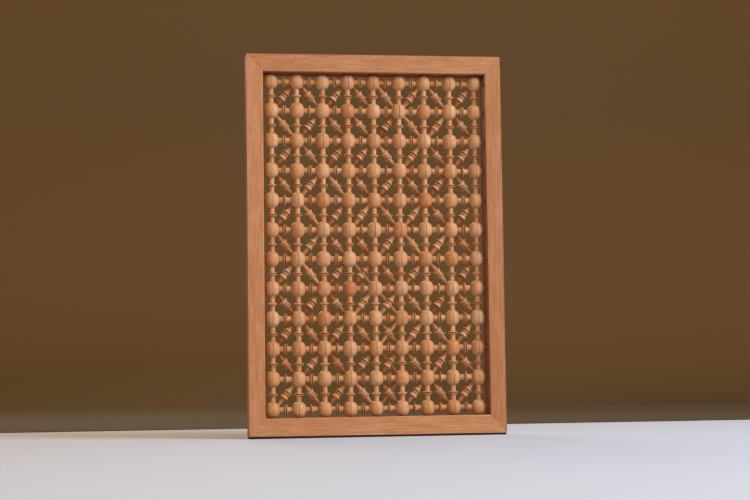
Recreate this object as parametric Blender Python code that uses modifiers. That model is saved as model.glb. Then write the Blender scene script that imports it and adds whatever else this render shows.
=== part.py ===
"""Spindle wall panel: a mitred wooden frame that holds a lattice of turned beads and sticks.

Metres, +Z up, +X to the right seen from the front, which faces -Y. The origin is the middle of the
top rail's back face, where the panel is fixed to a wall.
"""

import math

import bpy

# The lattice: beads on a regular grid, counted from the top left corner.
COLUMNS = 9
ROWS = 12
COLUMN_PITCH = 0.0403
ROW_PITCH = 0.04625
BEAD_WIDTH = 0.0224
BEAD_HEIGHT = 0.0240
UPRIGHT_THICKNESS = 0.0074
CROSS_THICKNESS = 0.0078
BRACE_END_THICKNESS = 0.0048
BRACE_MIDDLE_THICKNESS = 0.0110
BRACE_MIDDLE_LENGTH = 0.0136
TENON_DEPTH = 0.0030

# The frame round it.
STILE_FACE = 0.0255
RAIL_FACE = 0.0280
FRAME_DEPTH = 0.0370
SOFTENED_EDGE = 0.0008
LATTICE_FROM_BACK = 0.0185

# Gaps: between the outer beads and the frame, and between faces that touch.
SIDE_GAP = 0.00215
END_GAP = 0.0006
TOUCH = 0.0003

# Turned pieces have few sides, with a flat side turned to each neighbour that they meet.
BEAD_SIDES = 6
STICK_SIDES = 4

# Where the two halves of the diagonal pattern meet. For each gap between two rows, the last cell
# that the left half reaches and the first cell of the right half. They cross where both cover one.
LEFT_REACH = (4, 3, 3, 3, 3, 3, 4, 5, 5, 5, 5)
RIGHT_START = (5, 4, 4, 4, 4, 4, 4, 5, 5, 5, 5)

# Sizes that follow from those above.
OPENING_WIDTH = (COLUMNS - 1) * COLUMN_PITCH + BEAD_WIDTH + 2 * SIDE_GAP
OPENING_HEIGHT = (ROWS - 1) * ROW_PITCH + BEAD_HEIGHT + 2 * END_GAP
PANEL_WIDTH = OPENING_WIDTH + 2 * STILE_FACE
PANEL_HEIGHT = OPENING_HEIGHT + 2 * RAIL_FACE
PANEL_MIDDLE_Z = RAIL_FACE / 2 - PANEL_HEIGHT / 2
LATTICE_Y = -LATTICE_FROM_BACK

BEAD_RADIUS = BEAD_WIDTH / 2
UPRIGHT_RADIUS = UPRIGHT_THICKNESS / 2
BRACE_ANGLE = math.atan2(ROW_PITCH, COLUMN_PITCH)
BRACE_SPAN = math.hypot(ROW_PITCH, COLUMN_PITCH)
SHOULDER_RISE = (BEAD_RADIUS - UPRIGHT_RADIUS) / math.tan(BRACE_ANGLE)
BEAD_STRAIGHT = BEAD_HEIGHT / 2 - SHOULDER_RISE
SHOULDER_REACH = BEAD_RADIUS * math.cos(BRACE_ANGLE) + BEAD_STRAIGHT * math.sin(BRACE_ANGLE)


def clear_scene():
    """Removes whatever the scene holds, such as the default cube."""
    for old in list(bpy.data.objects):
        bpy.data.objects.remove(old, do_unlink=True)


def new_collection(name, parent=None):
    """Makes a collection inside another, or inside the scene."""
    collection = bpy.data.collections.new(name)
    (parent or bpy.context.scene.collection).children.link(collection)
    return collection


def wood(name, colour, roughness):
    """A plain wood finish."""
    material = bpy.data.materials.new(name)
    material.use_nodes = True
    shader = material.node_tree.nodes["Principled BSDF"]
    shader.inputs["Base Color"].default_value = (*colour, 1)
    shader.inputs["Roughness"].default_value = roughness
    shader.inputs["Metallic"].default_value = 0.0
    return material


def column_x(column):
    """The middle of a column of beads, counted from 0 at the left."""
    return (column - (COLUMNS - 1) / 2) * COLUMN_PITCH


def row_z(row):
    """The middle of a row of beads, counted from 0 at the top."""
    return PANEL_MIDDLE_Z + ((ROWS - 1) / 2 - row) * ROW_PITCH


def turned_profile(name, points):
    """A mesh that holds only a profile: points of radius and height, top to bottom."""
    mesh = bpy.data.meshes.new(name)
    edges = [(i, i + 1) for i in range(len(points) - 1)]
    mesh.from_pydata([(radius, 0, height) for radius, height in points], edges, [])
    return mesh


def turned(name, mesh, sides, collection):
    """An object that turns a profile round its own Z axis."""
    piece = bpy.data.objects.new(name, mesh)
    collection.objects.link(piece)
    screw = piece.modifiers.new("Turning", "SCREW")
    screw.axis = "Z"
    screw.steps = sides
    screw.render_steps = sides
    screw.use_merge_vertices = True
    screw.merge_threshold = 0.00001
    return piece


def column_profile():
    """Radius and height of a column of beads and upright sticks, from the top tenon down."""
    flat_to_corner = 1 / math.cos(math.pi / BEAD_SIDES)
    neck = UPRIGHT_RADIUS * flat_to_corner
    belly = BEAD_RADIUS * flat_to_corner
    half_bead = BEAD_HEIGHT / 2
    tenon = END_GAP - TOUCH
    top = row_z(0) + half_bead + tenon
    bottom = row_z(ROWS - 1) - half_bead - tenon
    points = [(0, top), (neck, top)]
    for row in range(ROWS):
        z = row_z(row)
        points += [
            (neck, z + half_bead),
            (belly, z + BEAD_STRAIGHT),
            (belly, z - BEAD_STRAIGHT),
            (neck, z - half_bead),
        ]
    return points + [(neck, bottom), (0, bottom)]


def stick_profile(radius, length):
    """A plain round stick that starts at its foot, at height 0."""
    return [(0, length), (radius, length), (radius, 0), (0, 0)]


def brace_profile(length):
    """A brace swells from both ends to a thick middle."""
    end = BRACE_END_THICKNESS / 2
    middle = BRACE_MIDDLE_THICKNESS / 2
    halfway = BRACE_SPAN / 2 - SHOULDER_REACH + TENON_DEPTH
    upper = halfway + BRACE_MIDDLE_LENGTH / 2
    lower = halfway - BRACE_MIDDLE_LENGTH / 2
    return [(0, length), (end, length), (middle, upper), (middle, lower), (end, 0), (0, 0)]


def diagonals(gap, cell):
    """The diagonals of a cell, in front first: True for one that rises to the right.

    Gaps and cells are counted from 1. Each half of the lattice alternates like a chessboard, the two
    halves start on opposite colours, and where they cross the right half's stick is in front.
    """
    rising = []
    if cell >= RIGHT_START[gap - 1]:
        rising.append((cell + gap) % 2 == 1)
    if cell <= LEFT_REACH[gap - 1]:
        rising.append((cell + gap) % 2 == 0)
    return rising


def place(name, mesh, start, angle, collection):
    """Puts a stick with its foot at start, pointing right and up by an angle."""
    piece = turned(name, mesh, STICK_SIDES, collection)
    piece.location = start
    piece.rotation_euler = (0, math.pi / 2 - angle, 0)
    piece.hide_render = True
    piece.display_type = "WIRE"
    return piece


def add_cross_sticks(column, mesh, collection):
    """The cross sticks from one column to the next."""
    x = column_x(column) + BEAD_RADIUS - TENON_DEPTH
    for row in range(ROWS):
        name = f"cross_{column + 1}_{row + 1}"
        place(name, mesh, (x, LATTICE_Y, row_z(row)), 0, collection)


def add_side_pegs(column, x, mesh, collection):
    """The pegs from an outer column to its stile."""
    for row in range(ROWS):
        name = f"peg_{column + 1}_{row + 1}"
        place(name, mesh, (x, LATTICE_Y, row_z(row)), 0, collection)


def add_braces(column, mesh, plain_mesh, collection):
    """The braces from one column to the next. In a crossing, the second one is plain."""
    reach = SHOULDER_REACH - TENON_DEPTH
    for gap in range(1, ROWS):
        for order, rising in enumerate(diagonals(gap, column + 1)):
            bead_row = gap if rising else gap - 1
            angle = BRACE_ANGLE if rising else -BRACE_ANGLE
            x = column_x(column) + reach * math.cos(angle)
            z = row_z(bead_row) + reach * math.sin(angle)
            shape = plain_mesh if order else mesh
            name = f"brace_{column + 1}_{gap}_{order + 1}"
            place(name, shape, (x, LATTICE_Y, z), angle, collection)


def build_lattice(parts, cutters, material):
    """Nine columns of beads, each fused with the sticks that leave it."""
    cross_length = COLUMN_PITCH - BEAD_WIDTH + TENON_DEPTH - TOUCH
    brace_length = BRACE_SPAN - 2 * SHOULDER_REACH + TENON_DEPTH - TOUCH
    peg_length = SIDE_GAP + TENON_DEPTH - TOUCH
    cross_radius = CROSS_THICKNESS / 2
    column_mesh = turned_profile("column_profile", column_profile())
    cross_mesh = turned_profile("cross_profile", stick_profile(cross_radius, cross_length))
    peg_mesh = turned_profile("peg_profile", stick_profile(cross_radius, peg_length))
    brace_mesh = turned_profile("brace_profile", brace_profile(brace_length))
    plain_radius = BRACE_END_THICKNESS / 2
    plain_mesh = turned_profile("plain_profile", stick_profile(plain_radius, brace_length))
    for mesh in (column_mesh, cross_mesh, peg_mesh, brace_mesh, plain_mesh):
        mesh.materials.append(material)

    for column in range(COLUMNS):
        sticks = new_collection(f"sticks_{column + 1}", cutters)
        bead_column = turned(f"bead_column_{column + 1}", column_mesh, BEAD_SIDES, parts)
        bead_column.location = (column_x(column), LATTICE_Y, 0)
        bead_column.rotation_euler = (0, 0, math.pi / BEAD_SIDES)
        if column < COLUMNS - 1:
            add_cross_sticks(column, cross_mesh, sticks)
            add_braces(column, brace_mesh, plain_mesh, sticks)
        if column == 0:
            add_side_pegs(column, -OPENING_WIDTH / 2 + TOUCH, peg_mesh, sticks)
        if column == COLUMNS - 1:
            bead_side = column_x(column) + BEAD_RADIUS - TENON_DEPTH
            add_side_pegs(column, bead_side, peg_mesh, sticks)
        union = bead_column.modifiers.new("Sticks", "BOOLEAN")
        union.operation = "UNION"
        union.operand_type = "COLLECTION"
        union.collection = sticks
        union.solver = "EXACT"


def frame_member(name, length, face, other_face, place_at, turn, parts, material):
    """One mitred member. It is made lying along X, with its outer edge up, and then turned.

    The mitre runs from the outer corner to the inner one, and keeps half a touching gap.
    """
    bpy.ops.mesh.primitive_cube_add(size=1)
    member = bpy.context.object
    member.name = name
    member.data.name = name
    shorten = TOUCH / 2 * math.hypot(face, other_face) / face
    for vertex in member.data.vertices:
        outer = vertex.co.z > 0
        half = length / 2 - shorten - (0 if outer else other_face)
        vertex.co.x = math.copysign(half, vertex.co.x)
        vertex.co.y *= FRAME_DEPTH
        vertex.co.z *= face
    member.location = place_at
    member.rotation_euler = (0, turn, 0)
    soften = member.modifiers.new("Softened edges", "BEVEL")
    soften.width = SOFTENED_EDGE
    soften.segments = 1
    member.data.materials.append(material)
    for collection in list(member.users_collection):
        collection.objects.unlink(member)
    parts.objects.link(member)


def build_frame(parts, material):
    """Two rails and two stiles, each with its outer edge turned outwards."""
    y = -FRAME_DEPTH / 2
    rail_z = PANEL_HEIGHT / 2 - RAIL_FACE / 2
    stile_x = PANEL_WIDTH / 2 - STILE_FACE / 2
    rail = (PANEL_WIDTH, RAIL_FACE, STILE_FACE)
    stile = (PANEL_HEIGHT, STILE_FACE, RAIL_FACE)
    members = (
        ("top_rail", rail, (0, y, PANEL_MIDDLE_Z + rail_z), 0),
        ("bottom_rail", rail, (0, y, PANEL_MIDDLE_Z - rail_z), math.pi),
        ("left_stile", stile, (-stile_x, y, PANEL_MIDDLE_Z), -math.pi / 2),
        ("right_stile", stile, (stile_x, y, PANEL_MIDDLE_Z), math.pi / 2),
    )
    for name, (length, face, other_face), place_at, turn in members:
        frame_member(name, length, face, other_face, place_at, turn, parts, material)


def main():
    clear_scene()
    parts = new_collection("spindle_wall_panel")
    cutters = new_collection("cutters")
    frame_wood = wood("frame_wood", (0.50, 0.23, 0.11), 0.5)
    turned_wood = wood("turned_wood", (0.53, 0.25, 0.11), 0.45)
    build_frame(parts, frame_wood)
    build_lattice(parts, cutters, turned_wood)


main()
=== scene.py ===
# %% [markdown]
# # A spindle wall panel
#
# The real object is a mitred wooden frame that holds a lattice of turned wood: barrel-shaped beads on a
# regular grid, joined upright, across and on the diagonal by short turned sticks with thin discs on them.
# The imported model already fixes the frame, and the place of every bead to within a millimetre or two.
# This script gives it the finer turning and the wood: each bead and stick is turned on a small lathe in
# code, and each one knows which part of a log it was cut from, so that no two have the same grain.

# %% Load the fixed model
import math
import random

import bmesh
import bpy
from mathutils import Matrix, Vector


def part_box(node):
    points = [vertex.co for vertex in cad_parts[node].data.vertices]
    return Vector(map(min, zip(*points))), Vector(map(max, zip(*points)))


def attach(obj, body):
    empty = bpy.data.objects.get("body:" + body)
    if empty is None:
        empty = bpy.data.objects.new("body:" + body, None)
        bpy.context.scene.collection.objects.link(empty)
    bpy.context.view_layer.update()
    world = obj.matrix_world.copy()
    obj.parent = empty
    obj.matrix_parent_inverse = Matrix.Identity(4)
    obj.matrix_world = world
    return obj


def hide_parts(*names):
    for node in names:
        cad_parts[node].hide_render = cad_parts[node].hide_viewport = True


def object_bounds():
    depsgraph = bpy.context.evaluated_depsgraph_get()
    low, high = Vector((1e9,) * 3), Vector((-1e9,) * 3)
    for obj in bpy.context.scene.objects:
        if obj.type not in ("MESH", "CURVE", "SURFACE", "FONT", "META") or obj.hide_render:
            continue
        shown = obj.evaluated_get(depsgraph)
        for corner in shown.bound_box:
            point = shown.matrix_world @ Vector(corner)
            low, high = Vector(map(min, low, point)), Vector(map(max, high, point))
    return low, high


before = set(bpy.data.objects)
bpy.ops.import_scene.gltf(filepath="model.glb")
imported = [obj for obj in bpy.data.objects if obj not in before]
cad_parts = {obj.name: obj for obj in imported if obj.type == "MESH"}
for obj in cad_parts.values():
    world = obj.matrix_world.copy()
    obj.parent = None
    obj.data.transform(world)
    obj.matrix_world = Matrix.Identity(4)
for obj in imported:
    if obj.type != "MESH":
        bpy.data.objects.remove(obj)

cad_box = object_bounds()
print("box in mm:", [[round(c * 1000, 1) for c in corner] for corner in cad_box])

# %% [markdown]
# The lattice fills the opening of the frame, so its places are read from the frame's four members and
# not typed in. Only what the opening can't tell is named here: how many beads there are, how large one
# is, and the gaps that are left between the outer beads and the frame.

# %% Measure the opening and the grid of beads
MM = 0.001
COLUMNS = 9
ROWS = 12
BEAD_WIDTH = 22.4 * MM
BEAD_HEIGHT = 24.6 * MM
SIDE_GAP = 2.15 * MM
END_GAP = 0.3 * MM
LATTICE_FROM_BACK = 18.5 * MM

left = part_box("left_stile")[1].x
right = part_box("right_stile")[0].x
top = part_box("top_rail")[0].z
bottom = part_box("bottom_rail")[1].z
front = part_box("left_stile")[0].y
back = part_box("left_stile")[1].y

lattice_y = back - LATTICE_FROM_BACK
column_pitch = (right - left - BEAD_WIDTH - 2 * SIDE_GAP) / (COLUMNS - 1)
row_pitch = (top - bottom - BEAD_HEIGHT - 2 * END_GAP) / (ROWS - 1)
print(f"opening {(right - left) / MM:.2f} x {(top - bottom) / MM:.2f} mm")
print(f"beads every {column_pitch / MM:.2f} mm across and {row_pitch / MM:.2f} mm down")

# %% [markdown]
# On the real panel the rows and columns aren't quite even, because the sticks were cut to length by hand.
# Each number below is how far one row or column is off its even place, in millimetres. The whole lattice
# also stands a little to the left and a little low in its frame.

# %% Let the rows and columns be off by a little
LATTICE_OFF = Vector((-0.4 * MM, 0, -0.2 * MM))
ROWS_RAISED = (0.2, 0.8, 0.15, -0.6, -0.55, -0.55, 0.25, 0.4, 0.35, 0.2, 0.05, -0.4)
ROWS_ASIDE = (0.05, 0.25, 0.3, 0.1, 0.2, -0.05, -0.15, -0.15, -0.2, -0.25, -0.45, -0.9)
COLUMNS_ASIDE = (0.6, 0.2, 0.15, -0.1, -0.2, -0.15, -0.55, 0.0, 0.0)


def bead_middle(column, row):
    """The middle of a bead, counted from 0 at the top left."""
    x = left + SIDE_GAP + BEAD_WIDTH / 2 + column * column_pitch
    z = top - END_GAP - BEAD_HEIGHT / 2 - row * row_pitch
    off = Vector(((ROWS_ASIDE[row] + COLUMNS_ASIDE[column]) * MM, 0, ROWS_RAISED[row] * MM))
    return Vector((x, lattice_y, z)) + LATTICE_OFF + off


print("first bead", [round(c / MM, 2) for c in bead_middle(0, 0)])


# %% [markdown]
# ## A lathe
#
# Every stick and bead is round, so the quickest honest way to make one is the turner's own: draw half of
# its outline, from foot to tip, and spin it once round its axis. A modifier could do that too, but a
# mesh that is spun once can be copied hundreds of times. Discs keep their crisp rims because only the
# edges that bend sharply are marked sharp, and everything else is shaded smooth.

# %% The lathe
CRISP_BEND = math.radians(38)
WELD = 0.001 * MM
DISC_EASE = 0.22


def turn(name, outline, sides):
    """Turns an outline round the Z axis into a closed shape.

    A point of the outline is its radius and height, and may have a third number: how much shade is
    painted on it, from 0 to 1.
    """
    bm = bmesh.new()
    painted_shade = bm.verts.layers.float.new("painted_shade")
    points = []
    for radius, height, *dark in outline:
        point = bm.verts.new((radius, 0, height))
        point[painted_shade] = dark[0] if dark else 0
        points.append(point)
    lines = [bm.edges.new(pair) for pair in zip(points, points[1:])]
    bmesh.ops.spin(
        bm, geom=points + lines, cent=(0, 0, 0), axis=(0, 0, 1), angle=math.tau, steps=sides, use_merge=True
    )
    bmesh.ops.remove_doubles(bm, verts=bm.verts, dist=WELD)
    bmesh.ops.recalc_face_normals(bm, faces=bm.faces)
    for face in bm.faces:
        face.smooth = True
    for edge in bm.edges:
        edge.smooth = edge.calc_face_angle(0) < CRISP_BEND
    shape = bpy.data.meshes.new(name)
    bm.to_mesh(shape)
    print(f"{name}: {len(bm.faces)} faces")
    bm.free()
    return shape


def rod(radius, half_length, painted_shade):
    """Half outline of a plain round rod."""
    corners = [(0, -half_length), (radius, -half_length), (radius, half_length), (0, half_length)]
    return [(*corner, painted_shade) for corner in corners]


def disc(middle, radius, thickness, foot=0.0, tip=0.0):
    """Outline of the rim of a thin disc, a little eased, with the painted shade of its two edges."""
    half = thickness / 2
    ease = thickness * DISC_EASE
    return [
        (radius - ease, middle - half, foot),
        (radius, middle - half + ease),
        (radius, middle + half - ease),
        (radius - ease, middle + half, tip),
    ]


# %% [markdown]
# ## Cut from a log
#
# Wood looks like wood because its pattern is solid: the rings and fibres go right through the piece, and
# turning only uncovers them. So each piece gets a place in a log. That is three numbers on every point,
# kept in an attribute that the wood finish reads, and the same point of two beads lies in two different
# parts of the log. Four more attributes keep the point's place on the piece itself, the tone of the stock
# that it was cut from, how much painted shade darkens the point, and how clearly the piece has a drying
# check.

# %% Give each piece its place in the log
dice = random.Random(1907)
LOG_LENGTH = 2.0
NEAR_HEART = 8 * MM
FAR_FROM_HEART = 60 * MM
GRAIN_SLOPE = math.radians(5)


def cut_from_log():
    """Takes a point of a piece, with its length along Z, to its place in a log."""
    spin = Matrix.Rotation(dice.uniform(0, math.tau), 4, "Z")
    lean = Matrix.Rotation(dice.gauss(0, GRAIN_SLOPE), 4, "Y")
    from_heart = dice.uniform(NEAR_HEART, FAR_FROM_HEART)
    return Matrix.Translation((from_heart, 0, dice.uniform(0, LOG_LENGTH))) @ lean @ spin


def by_chance(average, spread, lowest, highest):
    """A number by chance, kept within limits."""
    return min(max(dice.gauss(average, spread), lowest), highest)


def start_piece():
    """An empty mesh in the making, with the attributes that the wood finish reads."""
    bm = bmesh.new()
    bm.verts.layers.float_vector.new("log_place")
    bm.verts.layers.float_vector.new("own_place")
    bm.verts.layers.float.new("tone")
    bm.verts.layers.float.new("painted_shade")
    bm.verts.layers.float.new("check")
    return bm


def add_turned(bm, shape, place, tone, check=0.0, size=1.0, shade_strength=1.0):
    """Adds a copy of a turned shape at a place, cut from its own part of the log."""
    log_layer = bm.verts.layers.float_vector["log_place"]
    own_layer = bm.verts.layers.float_vector["own_place"]
    tone_layer = bm.verts.layers.float["tone"]
    painted_shade_layer = bm.verts.layers.float["painted_shade"]
    check_layer = bm.verts.layers.float["check"]
    cut = cut_from_log()
    known = len(bm.verts)
    bm.from_mesh(shape)
    bm.verts.ensure_lookup_table()
    new = bm.verts[known:]
    for vert, shade_painted in zip(new, shape.attributes["painted_shade"].data):
        # The piece's painted shade, scaled for this copy.
        vert[painted_shade_layer] = min(shade_painted.value * shade_strength, 1)
        vert[log_layer] = cut @ vert.co
        vert[own_layer] = vert.co
        vert[tone_layer] = tone
        vert[check_layer] = check
    bmesh.ops.transform(bm, matrix=place @ Matrix.Scale(size, 4), verts=new)


def make_object(bm, name, material):
    """Turns the mesh in the making into an object of one material."""
    mesh = bpy.data.meshes.new(name)
    bm.to_mesh(mesh)
    bm.free()
    mesh.materials.append(material)
    made = bpy.data.objects.new(name, mesh)
    bpy.context.scene.collection.objects.link(made)
    print(f"{name}: {len(mesh.polygons)} faces")
    return made


def finish_piece(bm, name, slot, material, *nodes):
    """Turns the mesh in the making into a piece that rides with the frame and stands for its nodes."""
    piece = make_object(bm, name, material)
    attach(piece, "root")
    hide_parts(*nodes)


# %% [markdown]
# ## Wood
#
# Both woods are made the same way, from the inside out. Rings are a wave pattern round the heart of the
# log, bent by a slow noise. Fibres are a noise stretched along the log, and pores are short dark dashes
# in it. All of them only shift the stock's own colour a little, as on sanded and oiled wood, and the
# fibres also vary the gloss and raise the surface by a hair. Painted shade darkens a point towards a
# deep brown and makes it duller. An image of wood would be quicker, but it would wrap round the beads
# like paper. The wave node multiplies its scale by 20 and draws one ring in each full turn of the
# result, so a ring's width has to be turned into that scale.

# %% Helpers for the wood's nodes


def screen(red, green, blue):
    """A colour as a screen shows it, from 0 to 255, in the linear values that a shader takes."""
    shares = (red / 255, green / 255, blue / 255)
    return tuple(((c + 0.055) / 1.055) ** 2.4 if c > 0.04 else c / 12.92 for c in shares)


class Finish:
    """A material and short ways to add nodes to it."""

    def __init__(self, name):
        self.material = bpy.data.materials.new(name)
        self.material.use_nodes = True
        self.tree = self.material.node_tree
        self.shader = self.tree.nodes["Principled BSDF"]

    def add(self, kind, inputs=None, **settings):
        """Adds a node. An input is a plain value, or the socket that feeds it."""
        node = self.tree.nodes.new(kind)
        for key, value in settings.items():
            setattr(node, key, value)
        for key, value in (inputs or {}).items():
            if isinstance(value, bpy.types.NodeSocket):
                self.tree.links.new(value, node.inputs[key])
            else:
                node.inputs[key].default_value = value
        return node

    def attribute(self, name):
        """The node that reads one of the piece's attributes."""
        return self.add("ShaderNodeAttribute", attribute_name=name)

    def math(self, operation, first, second=0.0):
        """One sum on two numbers."""
        return self.add("ShaderNodeMath", {0: first, 1: second}, operation=operation).outputs[0]

    def spread(self, value, low, high, to_low=0.0, to_high=1.0):
        """Stretches the numbers between low and high over a new range, and keeps them in it."""
        stretch = {"Value": value, "From Min": low, "From Max": high, "To Min": to_low, "To Max": to_high}
        return self.add("ShaderNodeMapRange", stretch).outputs["Result"]

    def stretched(self, vector, scale):
        """A vector scaled by a different amount along each axis."""
        return self.add("ShaderNodeMapping", {"Vector": vector, "Scale": scale}).outputs["Vector"]

    def noise(self, vector, scale, detail=2.0, roughness=0.5):
        """A cloudy pattern from 0 to 1."""
        settings = {"Vector": vector, "Scale": scale, "Detail": detail, "Roughness": roughness}
        return self.add("ShaderNodeTexNoise", settings).outputs["Fac"]

    def mix(self, factor, first, second, blend="MIX"):
        """Mixes two colours. The node has its colour sockets behind those for numbers and vectors."""
        inputs = {0: factor, 6: first, 7: second}
        return self.add("ShaderNodeMix", inputs, data_type="RGBA", blend_type=blend).outputs[2]

    def ramp(self, value, stops):
        """Colours for the numbers from 0 to 1, each stop a place and a colour."""
        node = self.add("ShaderNodeValToRGB", {"Fac": value})
        elements = node.color_ramp.elements
        elements[0].position, elements[0].color = stops[0][0], (*stops[0][1], 1)
        elements[1].position, elements[1].color = stops[-1][0], (*stops[-1][1], 1)
        for place, colour in stops[1:-1]:
            elements.new(place).color = (*colour, 1)
        return node.outputs["Color"]


# %% The wood finish
WAVE_FACTOR = 20
SPECULAR = 0.22


def wood_finish(name, stocks, rings_every, ring_strength, fineness, fibre_strength, pore_strength, gloss):
    """Wood of several stocks, from the first tone to the last. Returns the finish, for more nodes."""
    finish = Finish(name)
    log = finish.attribute("log_place").outputs["Vector"]
    stock = finish.ramp(finish.attribute("tone").outputs["Fac"], stocks)

    slow = finish.noise(finish.stretched(log, (1, 1, 0.15)), 60.0, 1.0)
    rings = finish.add(
        "ShaderNodeTexWave",
        {"Vector": finish.stretched(log, (1, 1, 0.12)), "Scale": math.tau / WAVE_FACTOR / rings_every,
         "Distortion": 2.2, "Detail": 2.0, "Detail Scale": 0.35, "Detail Roughness": 0.55},
        wave_type="RINGS", rings_direction="Z", wave_profile="SAW",
    ).outputs["Fac"]
    fibres = finish.noise(finish.stretched(log, (1, 1, 0.03)), 1500.0 * fineness, 3.0, 0.65)
    clouds = finish.noise(finish.stretched(log, (1, 1, 0.25)), 140.0, 2.0)
    pores = finish.noise(finish.stretched(log, (1, 1, 0.07)), 3200.0 * fineness, 1.0)
    dashes = finish.spread(pores, 0.60, 0.70)

    darker = finish.mix(1.0, stock, (0.70, 0.53, 0.38, 1), "MULTIPLY")
    lighter = finish.mix(1.0, stock, (1.13, 1.15, 1.18, 1), "MULTIPLY")
    ring_share = finish.math("MULTIPLY", finish.spread(rings, 0.35, 1.0), ring_strength)
    ringed = finish.mix(ring_share, stock, darker)
    fibre_share = finish.spread(fibres, 0.38, 0.62, 0.0, fibre_strength)
    fibred = finish.mix(fibre_share, ringed, darker)
    cloud_share = finish.spread(clouds, 0.42, 0.70, 0.0, 0.45)
    clouded = finish.mix(cloud_share, fibred, lighter)
    slow_share = finish.spread(slow, 0.45, 0.75, 0.0, 0.30)
    toned = finish.mix(slow_share, clouded, darker)
    pored = finish.mix(finish.math("MULTIPLY", dashes, pore_strength), toned, darker)
    # Painted shade: the attribute read below darkens the wood towards this deep brown in grooves, under
    # discs, at joints and on the frame's inner faces.
    shade_colour = finish.mix(1.0, stock, (0.38, 0.20, 0.07, 1), "MULTIPLY")
    painted_shade = finish.attribute("painted_shade").outputs["Fac"]
    shade_painted = finish.mix(painted_shade, pored, shade_colour)

    polished = finish.spread(fibres, 0.3, 0.7, gloss - 0.06, gloss + 0.08)
    rough = finish.math("ADD", polished, finish.math("MULTIPLY", painted_shade, 0.4))
    relief = finish.math("ADD", finish.math("MULTIPLY", fibres, 0.6), finish.math("MULTIPLY", dashes, -0.5))
    bump = finish.add("ShaderNodeBump", {"Height": relief, "Strength": 0.35, "Distance": 0.12 * MM})
    finish.tree.links.new(shade_painted, finish.shader.inputs["Base Color"])
    finish.tree.links.new(rough, finish.shader.inputs["Roughness"])
    finish.tree.links.new(bump.outputs["Normal"], finish.shader.inputs["Normal"])
    finish.shader.inputs["Specular IOR Level"].default_value = SPECULAR
    finish.colour = shade_painted
    return finish


# %% The frame's wood
frame_wood = wood_finish(
    "frame_wood",
    stocks=[(0.0, screen(182, 132, 97)), (0.5, screen(196, 144, 108)), (1.0, screen(208, 156, 119))],
    rings_every=5.0 * MM, ring_strength=0.30, fineness=0.45, fibre_strength=0.75, pore_strength=1.0,
    gloss=0.52,
)
print("frame wood has", len(frame_wood.tree.nodes), "nodes")

# %% [markdown]
# The turned wood runs from a pale tan to an orange brown. Many of the beads also show one fine dark line
# down the middle of the front, a drying check that the turner left, and the finish draws it from the
# point's own place on the bead, as strongly as the bead's attribute says.

# %% The turned wood
turned_wood = wood_finish(
    "turned_wood",
    stocks=[
        (0.0, screen(216, 177, 141)), (0.3, screen(213, 168, 129)),
        (0.6, screen(208, 159, 117)), (0.85, screen(202, 143, 97)), (1.0, screen(187, 122, 80)),
    ],
    rings_every=2.6 * MM, ring_strength=0.60, fineness=1.0, fibre_strength=0.60, pore_strength=0.85,
    gloss=0.46,
)


def draw_check(finish, width, height):
    """A fine dark line down the front of a piece, as strong as its check attribute."""
    own = finish.attribute("own_place").outputs["Vector"]
    split = finish.add("ShaderNodeSeparateXYZ", {"Vector": own}).outputs
    wander = finish.math("MULTIPLY", finish.math("SUBTRACT", finish.noise(own, 120.0), 0.5), 1.2 * MM)
    aside = finish.math("ABSOLUTE", finish.math("ADD", split["X"], wander))
    line = finish.spread(aside, 0.35 * width, width, 1.0, 0.0)
    in_front = finish.math("LESS_THAN", split["Y"], 0.0)
    inside = finish.spread(finish.math("ABSOLUTE", split["Z"]), 0.6 * height, height, 1.0, 0.0)
    strength = finish.attribute("check").outputs["Fac"]
    share = finish.math("MULTIPLY", finish.math("MULTIPLY", line, in_front), inside)
    share = finish.math("MULTIPLY", share, strength)
    checked = finish.mix(share, finish.colour, (*screen(70, 34, 14), 1))
    finish.tree.links.new(checked, finish.shader.inputs["Base Color"])


draw_check(turned_wood, width=0.62 * MM, height=BEAD_HEIGHT / 2)
print("turned wood has", len(turned_wood.tree.nodes), "nodes")


def finish_turned(bm, name, *columns):
    """Turns the mesh in the making into a piece of turned wood that stands for its bead columns."""
    nodes = [f"bead_column_{column + 1}" for column in columns]
    finish_piece(bm, name, "turned_wood", turned_wood.material, *nodes)


# %% [markdown]
# ## The frame
#
# Two rails and two stiles meet in mitres. A single extruded ring would be one mesh, but its grain could
# not turn the corner, and on the real frame the grain of a stile stops at the mitre. So each member is
# its own bar: a cube stretched to size, with its inner corners drawn in by the width of its neighbour.
# The long edges are rounded over as with fine paper, the mitre is left tight, and the sharp tip is eased.

# %% The frame's members
EASED_EDGE = 1.1 * MM
EASED_TIP = 0.5 * MM
MITRE_GAP = 0.06 * MM
HAIR = 0.01 * MM
HEART_AWAY = 110 * MM
PLANKS_APART = 40 * MM
PLANK_SLOPE = 0.01
# Painted shade on the frame's inner faces, light at the front and deep at the back of the opening.
SHADE_IN_FRONT = 0.28
SHADE_AT_BACK = 0.95

stile_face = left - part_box("left_stile")[0].x
rail_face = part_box("top_rail")[1].z - top
panel_width = 2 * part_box("right_stile")[1].x
panel_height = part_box("top_rail")[1].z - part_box("bottom_rail")[0].z
ROUNDED_FACE = 2 * MM * panel_height
print(f"stiles {stile_face / MM:.1f} mm and rails {rail_face / MM:.1f} mm wide")


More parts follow.
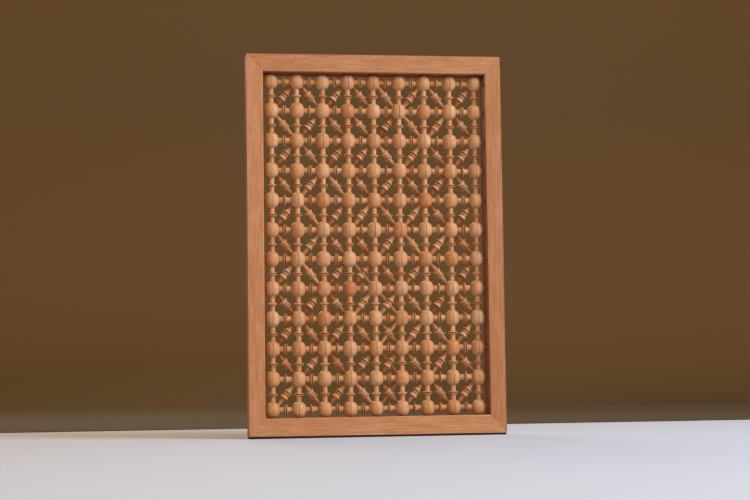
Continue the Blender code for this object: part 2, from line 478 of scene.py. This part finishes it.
def mitred_bar(length, face, other_face):
    """A bar along X with its outer edge up. Its ends slope inwards to the neighbours' inner edges."""
    bm = start_piece()
    bmesh.ops.create_cube(bm, size=1)
    for vert in bm.verts:
        half = length / 2 - MITRE_GAP - (other_face if vert.co.z < 0 else 0)
        vert.co = (math.copysign(half, vert.co.x), vert.co.y * (back - front), vert.co.z * face)
    bm.normal_update()
    long_edges = [edge for edge in bm.edges if all(abs(side.normal.x) < 0.1 for side in edge.link_faces)]
    bmesh.ops.bevel(
        bm, geom=long_edges, offset=EASED_EDGE, segments=3, profile=0.5, affect="EDGES", material=-1
    )
    for side in (1, -1):
        outwards = Vector((side, 0, 1)).normalized()
        tip = Vector((side * length / 2, 0, face / 2)) - outwards * EASED_TIP
        geometry = bm.verts[:] + bm.edges[:] + bm.faces[:]
        bmesh.ops.bisect_plane(bm, geom=geometry, plane_co=tip, plane_no=outwards, clear_outer=True)
        bmesh.ops.holes_fill(bm, edges=bm.edges)
    bmesh.ops.recalc_face_normals(bm, faces=bm.faces)
    return bm


def frame_member(node, length, face, other_face, turned_by, tone):
    """One member, cut from its own plank and set where its node is."""
    bm = mitred_bar(length, face, other_face)
    log_layer = bm.verts.layers.float_vector["log_place"]
    tone_layer = bm.verts.layers.float["tone"]
    painted_shade_layer = bm.verts.layers.float["painted_shade"]
    from_heart = HEART_AWAY + dice.uniform(0, PLANKS_APART)
    plank = Matrix.Translation((from_heart, 0, dice.uniform(0, LOG_LENGTH)))
    plank = plank @ Matrix.Rotation(-math.pi / 2, 4, "Y")
    plank = plank @ Matrix.Rotation(dice.gauss(0, PLANK_SLOPE), 4, "Z")
    for vert in bm.verts:
        vert[log_layer] = plank @ vert.co
        vert[tone_layer] = tone
        # The inner faces get painted shade, deeper on their back half.
        on_inside = vert.co.z < HAIR - face / 2
        painted_shade = SHADE_IN_FRONT if vert.co.y < 0 else SHADE_AT_BACK
        vert[painted_shade_layer] = painted_shade if on_inside else 0
    for polygon in bm.faces:
        polygon.smooth = polygon.calc_area() < ROUNDED_FACE
    low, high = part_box(node)
    place = Matrix.Translation((low + high) / 2) @ Matrix.Rotation(turned_by, 4, "Y")
    bmesh.ops.transform(bm, matrix=place, verts=bm.verts)
    finish_piece(bm, f"{node}_fine", "frame_wood", frame_wood.material, node)


rail = (panel_width, rail_face, stile_face)
stile = (panel_height, stile_face, rail_face)
# The last number is each member's tone. The right stile's is the darkest as painted shade, for shade on
# that side of the frame.
frame_member("top_rail", *rail, 0, 0.28)
frame_member("bottom_rail", *rail, math.pi, 0.78)
frame_member("left_stile", *stile, -math.pi / 2, 0.62)
frame_member("right_stile", *stile, math.pi / 2, 0.08)

# %% [markdown]
# ## The beads
#
# A bead is a barrel: fuller than a ball, with sides that are almost straight and ends that roll in to
# the necks of the sticks. A squashed ball would look too pointed. Its outline is a superellipse, which is a
# circle with a power in its formula, and one number moves it from a ball to a box.

# %% Turn a bead
FULLNESS = 2.38
BEAD_SIDES = 16
BEAD_STEPS = 10
# Painted shade at the bead's two ends, round the joints with the sticks.
END_SHADE = 0.8


def barrel(width, height, fullness, steps):
    """Half outline of a barrel, from foot to tip."""
    outline = []
    for step in range(steps + 1):
        angle = math.pi * (step / steps - 0.5)
        across = abs(math.cos(angle)) ** (2 / fullness)
        upwards = abs(math.sin(angle)) ** (2 / fullness)
        end = step in (0, steps)
        radius = 0 if end else width / 2 * across
        outline.append((radius, math.copysign(height / 2 * upwards, angle), END_SHADE if end else 0))
    return outline


bead = turn("bead", barrel(BEAD_WIDTH, BEAD_HEIGHT, FULLNESS, BEAD_STEPS), BEAD_SIDES)

# %% [markdown]
# Seven beads in ten have a drying check. Their tones spread widely, and their sizes by a hundredth or two.

# %% Set the beads, one piece for each column
HAND = 0.15 * MM
CHECKED_SHARE = 0.7
BEAD_TONES = (0.42, 0.24, 0, 0.92)


def by_hand(place):
    """A place that is off by a hair, as hand work is."""
    return place + Vector((dice.gauss(0, HAND), dice.gauss(0, HAND), dice.gauss(0, HAND)))


for column in range(COLUMNS):
    bm = start_piece()
    for row in range(ROWS):
        check = dice.uniform(0.4, 1.0) if dice.random() < CHECKED_SHARE else 0.0
        tone = by_chance(*BEAD_TONES)
        place = Matrix.Translation(by_hand(bead_middle(column, row)))
        add_turned(bm, bead, place, tone, check, size=dice.uniform(0.985, 1.015))
    finish_turned(bm, f"beads_{column + 1}", column)

# %% [markdown]
# ## The upright sticks
#
# Between two beads of a column stands a stick with a collar at its middle. Most have two thin discs with
# a groove between them, and some have one rounded ring, where the turner took less care. Shade is painted
# into the grooves, under the collars and where a stick meets a bead, so the outline also says how much
# painted shade darkens each point of it. Both ends run on into the beads, as the real tenons do, and no
# gap opens where a bead is off by a hair.

# %% Turn an upright stick
STICK_SIDES = 12
TENON = 2.0 * MM
UPRIGHT_NECK = 4.0 * MM
UPRIGHT_DISC = 7.5 * MM
# Painted shade: how dark a collar's groove is, and how far the shade of a joint reaches along the neck.
GROOVE_SHADE = 0.55
SHADED_END = 1.6 * MM
THIN_DISC = 1.1 * MM


def plain_ends(neck, half_length, left_shade=0.0, right_shade=0.0):
    """Outlines of a stick's two ends, from the end to where the painted shade on the neck fades out."""
    joint = half_length - TENON
    fades = joint - SHADED_END
    first = [(0, -half_length, 1), (neck, -half_length, 1), (neck, -joint, left_shade), (neck, -fades)]
    last = [(neck, fades), (neck, joint, right_shade), (neck, half_length, 1), (0, half_length, 1)]
    return first, last


def double_collar(neck, disc_radius, half_length, apart, edge_shade, **shades):
    """Outline of a stick with two thin discs and a groove between them."""
    lip = apart - THIN_DISC / 2
    clear = apart + THIN_DISC / 2 + 0.35 * MM
    groove = neck + 0.2 * MM
    flare = neck + 0.6 * MM
    first, last = plain_ends(neck, half_length, **shades)
    outline = first + [(neck, -clear - 1.3 * MM), (flare, -clear, edge_shade)]
    outline += disc(-apart, disc_radius, THIN_DISC, foot=edge_shade, tip=0.1)
    outline += [(groove, -lip, GROOVE_SHADE), (groove, lip, GROOVE_SHADE)]
    outline += disc(apart, disc_radius, THIN_DISC, foot=0.1)
    return outline + [(flare, clear, 0.3 * edge_shade), (neck, clear + 1.2 * MM)] + last


def rounded_collar(neck, disc_radius, half_length, edge_shade, **shades):
    """Outline of a stick with one rounded ring."""
    first, last = plain_ends(neck, half_length, **shades)
    outline = first + [(neck, -3.6 * MM), (neck + 1.0 * MM, -2.1 * MM, edge_shade)]
    outline += [(neck + 2.0 * MM, -1.4 * MM, 0.7 * edge_shade), (disc_radius, -0.7 * MM)]
    outline += [(disc_radius, 0.5 * MM)]
    outline += [(neck + 2.0 * MM, 1.2 * MM, 0.3), (neck + 0.5 * MM, 1.7 * MM, 0.3), (neck, 2.8 * MM)]
    return outline + last


upright_half = (row_pitch - BEAD_HEIGHT) / 2 + TENON
upright_stick = (UPRIGHT_NECK, UPRIGHT_DISC, upright_half)
upright_double = double_collar(*upright_stick, apart=1.25 * MM, edge_shade=0.2)
upright_rounded = rounded_collar(*upright_stick, edge_shade=0.4)
upright_shapes = [
    turn("upright_double", upright_double, STICK_SIDES),
    turn("upright_rounded", upright_rounded, STICK_SIDES),
]
UPRIGHT_SHARES = (2, 1)

# %% Set the upright sticks
SLOPE_BY_HAND = math.radians(0.5)
STICK_TONES = (0.50, 0.11, 0.15, 0.8)


def along(direction, middle):
    """Lays a turned shape along a direction, off by a hair."""
    lean = Matrix.Rotation(dice.gauss(0, SLOPE_BY_HAND), 4, "X")
    lean = lean @ Matrix.Rotation(dice.gauss(0, SLOPE_BY_HAND), 4, "Y")
    turned_to = direction.to_track_quat("Z", "X").to_matrix().to_4x4()
    return Matrix.Translation(middle) @ turned_to @ lean


def stick_tone():
    """Sticks are cut from stock a little redder and more even than the beads'."""
    return by_chance(*STICK_TONES)


UP = Vector((0, 0, 1))
for column in range(COLUMNS):
    bm = start_piece()
    for row in range(ROWS - 1):
        middle = (bead_middle(column, row) + bead_middle(column, row + 1)) / 2
        shape = dice.choices(upright_shapes, UPRIGHT_SHARES)[0]
        add_turned(bm, shape, along(UP, by_hand(middle)), stick_tone())
    finish_turned(bm, f"upright_sticks_{column + 1}", column)

# %% [markdown]
# ## The cross sticks
#
# The cross sticks are a little thicker, and their discs stand farther apart. Most have the double collar,
# some have one disc with a short cone behind it, and a few have a rounded ring. So three shapes are
# turned, and dealt out by chance. Their ends get painted shade, more on the side that lies in a bead's
# shadow.

# %% Turn the cross sticks
CROSS_NECK = 4.4 * MM
CROSS_DISC = 8.5 * MM
cross_half = (column_pitch - BEAD_WIDTH) / 2 + TENON


def coned_collar(neck, disc_radius, half_length, **shades):
    """Outline of a stick with one disc and a cone behind it."""
    first, last = plain_ends(neck, half_length, **shades)
    outline = first + [(neck, -2.8 * MM, 0.2), (neck + 0.8 * MM, -1.6 * MM, 0.8)]
    outline += disc(-0.7 * MM, disc_radius, 1.2 * MM, foot=0.8, tip=0.6)
    outline += [(neck + 0.6 * MM, 0.1 * MM, 1.0), (neck + 1.5 * MM, 0.5 * MM)]
    return outline + [(neck + 0.8 * MM, 1.5 * MM), (neck, 3.2 * MM)] + last


cross_stick = (CROSS_NECK, CROSS_DISC, cross_half)
# Painted shade at a cross stick's ends: the right end lies in the shadow of the bead to its right.
joints = {"left_shade": 0.2, "right_shade": 0.6}
cross_double = double_collar(*cross_stick, apart=1.45 * MM, edge_shade=0.35, **joints)
cross_coned = coned_collar(*cross_stick, **joints)
cross_rounded = rounded_collar(*cross_stick, edge_shade=0.7, **joints)
cross_shapes = [
    turn("cross_double", cross_double, STICK_SIDES),
    turn("cross_coned", cross_coned, STICK_SIDES),
    turn("cross_rounded", cross_rounded, STICK_SIDES),
]
CROSS_SHARES = (8, 1, 1)

# %% Set the cross sticks
RIGHT = Vector((1, 0, 0))
for column in range(COLUMNS - 1):
    bm = start_piece()
    for row in range(ROWS):
        middle = (bead_middle(column, row) + bead_middle(column + 1, row)) / 2
        shape = dice.choices(cross_shapes, CROSS_SHARES)[0]
        add_turned(bm, shape, along(RIGHT, by_hand(middle)), stick_tone())
    finish_turned(bm, f"cross_sticks_{column + 1}", column)

# %% [markdown]
# ## The braces
#
# One brace crosses each cell on the diagonal. It is the finest turning of the panel: two sharp discs,
# and between them a core with a ring and two grooves. Rising and falling braces are the same work with
# different necks, and two braces in five have a stouter neck than the others of their kind, dealt out by
# chance. A real brace isn't drilled quite at the angle of its cell, so all of them stand a little steeper.
# One shape for all would be simpler, but the eye soon finds what repeats in such a grid. A few braces are
# plain rods. Their one shape is listed twice, so that the same shares can deal out all three kinds.

# %% Turn the braces
BRACE_SIDES = 12
BRACE_DISC = 6.9 * MM
BRACE_CORE = 5.0 * MM
LOWER_DISC = 5.8 * MM
UPPER_DISC = 5.0 * MM
CLEAR_OF_BEAD = 11.8 * MM
PLAIN_RADIUS = 2.4 * MM

cell = Vector((column_pitch, 0, row_pitch))
brace_half = cell.length / 2 - CLEAR_OF_BEAD + TENON


def brace_core():
    """Outline of the ringed core, from the first disc to the second."""
    core = BRACE_CORE
    # Painted shade at the foot of each disc and in the core's two grooves.
    outline = disc(-LOWER_DISC, BRACE_DISC, THIN_DISC, foot=1.0)
    outline += [(core + 0.9 * MM, -4.8 * MM), (core, -3.4 * MM), (core, -1.0 * MM)]
    outline += [(core - 1.2 * MM, -0.6 * MM, 1.0), (core - 1.2 * MM, 0, 1.0), (core + 0.5 * MM, 0.4 * MM)]
    outline += [(core + 0.5 * MM, 1.6 * MM), (core - 0.2 * MM, 2.0 * MM, 0.3), (core, 2.5 * MM)]
    outline += [(core, 3.2 * MM), (core - 1.4 * MM, 3.4 * MM, 1.0), (core - 1.4 * MM, 4.4 * MM, 1.0)]
    outline += disc(UPPER_DISC, BRACE_DISC, THIN_DISC, foot=0.8)
    return outline


def end_of_brace(side, root, tip, painted_shade, half_length):
    """Outline of a neck from beyond its disc out to its end, with painted shade that is darkest where it
    meets the bead.
    """
    late = half_length - TENON - 2.5 * MM
    points = [
        (root + 0.9 * MM, side * 6.4 * MM, painted_shade),
        (root, side * 7.4 * MM, painted_shade),
        (root + (tip - root) * 0.5, side * 11.0 * MM, 0.5),
        (tip, side * late, 1.0),
        (tip - 0.2 * MM, side * half_length, 1.0),
        (0, side * half_length, 1.0),
    ]
    return points[::side]


def turned_brace(half_length, lower_neck, upper_neck):
    """Outline of a brace: each neck is given by its radius at the disc and at the bead, and its painted
    shade.
    """
    outline = end_of_brace(-1, *lower_neck, half_length)
    outline += brace_core() + end_of_brace(1, *upper_neck, half_length)
    return outline


straight_neck = (3.0 * MM, 2.8 * MM, 0.6)
coned_neck = (3.6 * MM, 1.9 * MM, 0.15)
stout_neck = (3.7 * MM, 2.8 * MM, 0.3)
slim_neck = (3.4 * MM, 2.5 * MM, 0.5)
rising_shapes = [
    turn("rising_brace", turned_brace(brace_half, straight_neck, coned_neck), BRACE_SIDES),
    turn("stout_rising_brace", turned_brace(brace_half, stout_neck, stout_neck), BRACE_SIDES),
]
falling_shapes = [
    turn("falling_brace", turned_brace(brace_half, slim_neck, slim_neck), BRACE_SIDES),
    turn("stout_falling_brace", turned_brace(brace_half, stout_neck, slim_neck), BRACE_SIDES),
]
# The plain rods carry an even painted shade.
plain_shapes = [turn("plain_brace", rod(PLAIN_RADIUS, brace_half, 0.6), BRACE_SIDES)] * 2
BRACE_SHARES = (3, 2)

# %% [markdown]
# The pattern of the braces was laid from both sides. Each half alternates like a chessboard, and the two
# halves start on opposite colours, so that where they meet they don't quite agree. Two rows of numbers
# say how far each half reaches in each gap between two rows of beads. Where both reach the same cell,
# the stick of the left half is plain and passes through the thick middle of the other one.

# %% Set the braces
LEFT_REACH = (4, 3, 3, 3, 3, 3, 4, 5, 5, 5, 5)
RIGHT_START = (5, 4, 4, 4, 4, 4, 4, 5, 5, 5, 5)


def braces_of(gap, column):
    """The braces of a cell, the turned one first: True for one that rises to the right."""
    rising = []
    if column >= RIGHT_START[gap - 1]:
        rising.append((column + gap) % 2 == 1)
    if column <= LEFT_REACH[gap - 1]:
        rising.append((column + gap) % 2 == 0)
    return rising


STEEPER = 1.10

brace_count = 0
for column in range(1, COLUMNS):
    bm = start_piece()
    for gap in range(1, ROWS):
        upper_left = bead_middle(column - 1, gap - 1)
        middle = upper_left + Vector((column_pitch / 2, 0, -row_pitch / 2))
        for order, rising in enumerate(braces_of(gap, column)):
            rise = row_pitch if rising else -row_pitch
            shapes = plain_shapes if order else (rising_shapes if rising else falling_shapes)
            shape = dice.choices(shapes, BRACE_SHARES)[0]
            place = along(Vector((column_pitch, 0, rise * STEEPER)), by_hand(middle))
            # Each brace's painted shade is scaled by chance, as some braces lie deeper in the beads' shadow
            # than others.
            add_turned(bm, shape, place, stick_tone(), shade_strength=dice.uniform(0.3, 1.6))
            brace_count += 1
    finish_turned(bm, f"braces_{column}", column - 1)
print(brace_count, "braces")

# %% [markdown]
# ## Pegs and tenons
#
# The lattice has to be held by the frame, so short pegs join the outer beads to the stiles, and the end
# beads stand on the rails with a short tenon. In the gaps round the lattice little of them is seen. They
# run on into the frame, so that no gap opens where the lattice stands a little aside.

# %% Set the pegs and tenons
PEG_IN_BEAD = 2.0 * MM
PEG_RADIUS = 2.0 * MM
INTO_FRAME = 1.3 * MM

peg_half = (SIDE_GAP + INTO_FRAME + PEG_IN_BEAD) / 2
# Pegs and tenons carry painted shade, for the dark gaps they sit in.
peg_shape = turn("peg", rod(PEG_RADIUS, peg_half, 0.5), STICK_SIDES)
tenon_half = (END_GAP + INTO_FRAME + TENON) / 2
tenon_shape = turn("tenon", rod(UPRIGHT_NECK, tenon_half, 1), STICK_SIDES)

for side, column in ((-1, 0), (1, COLUMNS - 1)):
    bm = start_piece()
    for row in range(ROWS):
        edge = bead_middle(column, row) + Vector((side * (BEAD_WIDTH / 2 - PEG_IN_BEAD), 0, 0))
        add_turned(bm, peg_shape, along(RIGHT, edge + Vector((side * peg_half, 0, 0))), stick_tone())
    finish_turned(bm, "left_pegs" if side < 0 else "right_pegs", column)

for side, row in ((1, 0), (-1, ROWS - 1)):
    bm = start_piece()
    for column in range(COLUMNS):
        end = bead_middle(column, row) + Vector((0, 0, side * (BEAD_HEIGHT / 2 - TENON)))
        add_turned(bm, tenon_shape, along(UP, end + Vector((0, 0, side * tenon_half))), stick_tone())
    finish_turned(bm, "top_tenons" if side > 0 else "bottom_tenons", *range(COLUMNS))

# %% [markdown]
# ## The studio
#
# A plain pale floor, and half a metre behind the panel a roll of plain grey-brown paper that rises far
# behind it. The paper is darker than the wood on purpose, so that the lattice reads as light wood on a
# dark ground, and it is painted darkest where it lies flat, as painted shade against the most light it
# would catch there. The floor lies a hair below the panel, with a black strip between the two as a
# painted shadow, so the bottom rail gets the thin dark line that a heavy frame has where it stands.

# %% The floor
SHADOW_LINE = 3.0 * MM
FLOOR_Z = cad_box[0].z - SHADOW_LINE
FLOOR_HALF = 9.0
MATT = 0.9


def matt_finish(name, colour):
    """A plain matt finish."""
    finish = Finish(name)
    finish.shader.inputs["Base Color"].default_value = (*colour, 1)
    finish.shader.inputs["Roughness"].default_value = MATT
    return finish


bm = bmesh.new()
bmesh.ops.create_grid(bm, x_segments=1, y_segments=1, size=FLOOR_HALF)
bmesh.ops.translate(bm, verts=bm.verts, vec=(0, 0, FLOOR_Z))
floor = make_object(bm, "floor", matt_finish("floor", screen(199, 214, 246)).material)

# %% A black strip between the floor and the panel, a painted shadow line
SHADOW_STRIP_INSET = 1.0 * MM
SHADOW_STRIP_SLACK = 0.1 * MM

bm = bmesh.new()
bmesh.ops.create_cube(bm, size=1)
shadow_strip_size = (panel_width - 2 * SHADOW_STRIP_INSET, back - front - 2 * SHADOW_STRIP_INSET, SHADOW_LINE - SHADOW_STRIP_SLACK)
bmesh.ops.scale(bm, vec=shadow_strip_size, verts=bm.verts)
bmesh.ops.translate(bm, verts=bm.verts, vec=(0, (back + front) / 2, FLOOR_Z + SHADOW_LINE / 2))
shadow_strip = make_object(bm, "shadow_strip", matt_finish("shadow_strip", screen(16, 9, 5)).material)

# %% The roll of paper
PAPER_FROM = 0.50
PAPER_RISES = 2.9
PAPER_BEND = 1.2
PAPER_TOP = 7.0
BEND_STEPS = 12


def paper_finish():
    """Grey-brown paper, painted darker where it lies on the floor as painted shade."""
    lying = screen(76, 66, 50)
    upright = screen(119, 99, 75)
    finish = matt_finish("backdrop", upright)
    place = finish.add("ShaderNodeTexCoord").outputs["Object"]
    away = finish.add("ShaderNodeSeparateXYZ", {"Vector": place}).outputs["Y"]
    upright_share = finish.spread(away, PAPER_RISES - 0.6, PAPER_RISES + 0.9)
    colour = finish.mix(upright_share, (*lying, 1), (*upright, 1))
    finish.tree.links.new(colour, finish.shader.inputs["Base Color"])
    return finish.material


def paper_sweep():
    """A roll of paper that lies on the floor behind the panel, bends up and stands as a backdrop."""
    bm = bmesh.new()
    line = [(PAPER_FROM, 0)]
    for step in range(BEND_STEPS + 1):
        angle = math.pi / 2 * step / BEND_STEPS
        line.append((PAPER_RISES + PAPER_BEND * math.sin(angle), PAPER_BEND * (1 - math.cos(angle))))
    line.append((PAPER_RISES + PAPER_BEND, PAPER_TOP))
    verts = [bm.verts.new((-FLOOR_HALF, y, FLOOR_Z + MM + z)) for y, z in line]
    edges = [bm.edges.new(pair) for pair in zip(verts, verts[1:])]
    made = bmesh.ops.extrude_edge_only(bm, edges=edges)["geom"]
    swept = [part for part in made if isinstance(part, bmesh.types.BMVert)]
    bmesh.ops.translate(bm, verts=swept, vec=(2 * FLOOR_HALF, 0, 0))
    for face in bm.faces:
        face.smooth = True
    return bm


backdrop = make_object(paper_sweep(), "backdrop", paper_finish())

# %% [markdown]
# ## The light
#
# One large cool light stands high on the right in front of the panel, as an open sky would, so that each
# bead is brightest at its upper right and every disc draws a thin shadow. The surroundings are warm and
# much darker on the left, like a sunlit stone wall on one side only. So the lit wood looks pale and the
# shaded wood a deep orange brown, which one white light can't do. A weak front light softens the
# grooves, and a light behind keeps the back legible.

# %% The lights
panel_middle = Vector((0, front, (top + bottom) / 2))


def soft_light(name, at, size, power, colour):
    """A square light that faces the middle of the panel."""
    light = bpy.data.lights.new(name, "AREA")
    light.shape = "SQUARE"
    light.size = size
    light.energy = power
    light.color = colour
    lamp = bpy.data.objects.new(name, light)
    bpy.context.scene.collection.objects.link(lamp)
    lamp.location = at
    lamp.rotation_euler = (panel_middle - Vector(at)).to_track_quat("-Z", "Y").to_euler()


soft_light("key", at=(2.2, -1.85, 1.55), size=1.5, power=103, colour=(0.64, 0.795, 0.96))
soft_light("front_fill", at=(0.2, -2.7, 1.4), size=2.0, power=22, colour=(1.0, 0.84, 0.50))
soft_light("back_fill", at=(-0.6, 2.4, 1.2), size=1.5, power=26, colour=(1.0, 0.84, 0.66))

# %% The warm surroundings
DARK_SIDE = 0.06
BRIGHT_SIDE = 1.12

world = bpy.data.worlds.new("studio")
world.use_nodes = True
sky = world.node_tree.nodes
wires = world.node_tree.links
direction = sky.new("ShaderNodeTexCoord").outputs["Generated"]
split = sky.new("ShaderNodeSeparateXYZ")
wires.new(direction, split.inputs["Vector"])
sky["Background"].inputs["Color"].default_value = (1.0, 0.56, 0.13, 1)
aside = sky.new("ShaderNodeMapRange")
aside.inputs["From Min"].default_value = -1.0
aside.inputs["To Min"].default_value = DARK_SIDE
aside.inputs["To Max"].default_value = BRIGHT_SIDE
wires.new(split.outputs["X"], aside.inputs["Value"])
wires.new(aside.outputs["Result"], sky["Background"].inputs["Strength"])
bpy.context.scene.world = world
bpy.context.scene.view_settings.view_transform = "Standard"

# %% [markdown]
# ## The camera
#
# The camera stands 2.5 m in front of the panel, a little to the left of its middle and low down, and looks
# slightly up. The place and the lens were worked out from the eight corners of the frame and the rows
# of beads.

# %% The camera
CAMERA_AT = Vector((-0.3619, -2.4959, -0.4893))
HEADING = math.radians(8.299)
CLIMB = math.radians(4.550)
ROLL = math.radians(0.773)
SENSOR_MM = 36
LENS_MM = 77.36

camera_data = bpy.data.cameras.new("camera")
camera_data.sensor_width = SENSOR_MM
camera_data.lens = LENS_MM
camera = bpy.data.objects.new("camera", camera_data)
bpy.context.scene.collection.objects.link(camera)
aimed = Matrix.Rotation(-HEADING, 4, "Z") @ Matrix.Rotation(math.pi / 2 + CLIMB, 4, "X")
camera.matrix_world = Matrix.Translation(CAMERA_AT) @ aimed @ Matrix.Rotation(-ROLL, 4, "Z")
bpy.context.scene.camera = camera
print("camera", round((camera.location - panel_middle).length, 2), "m from the panel")
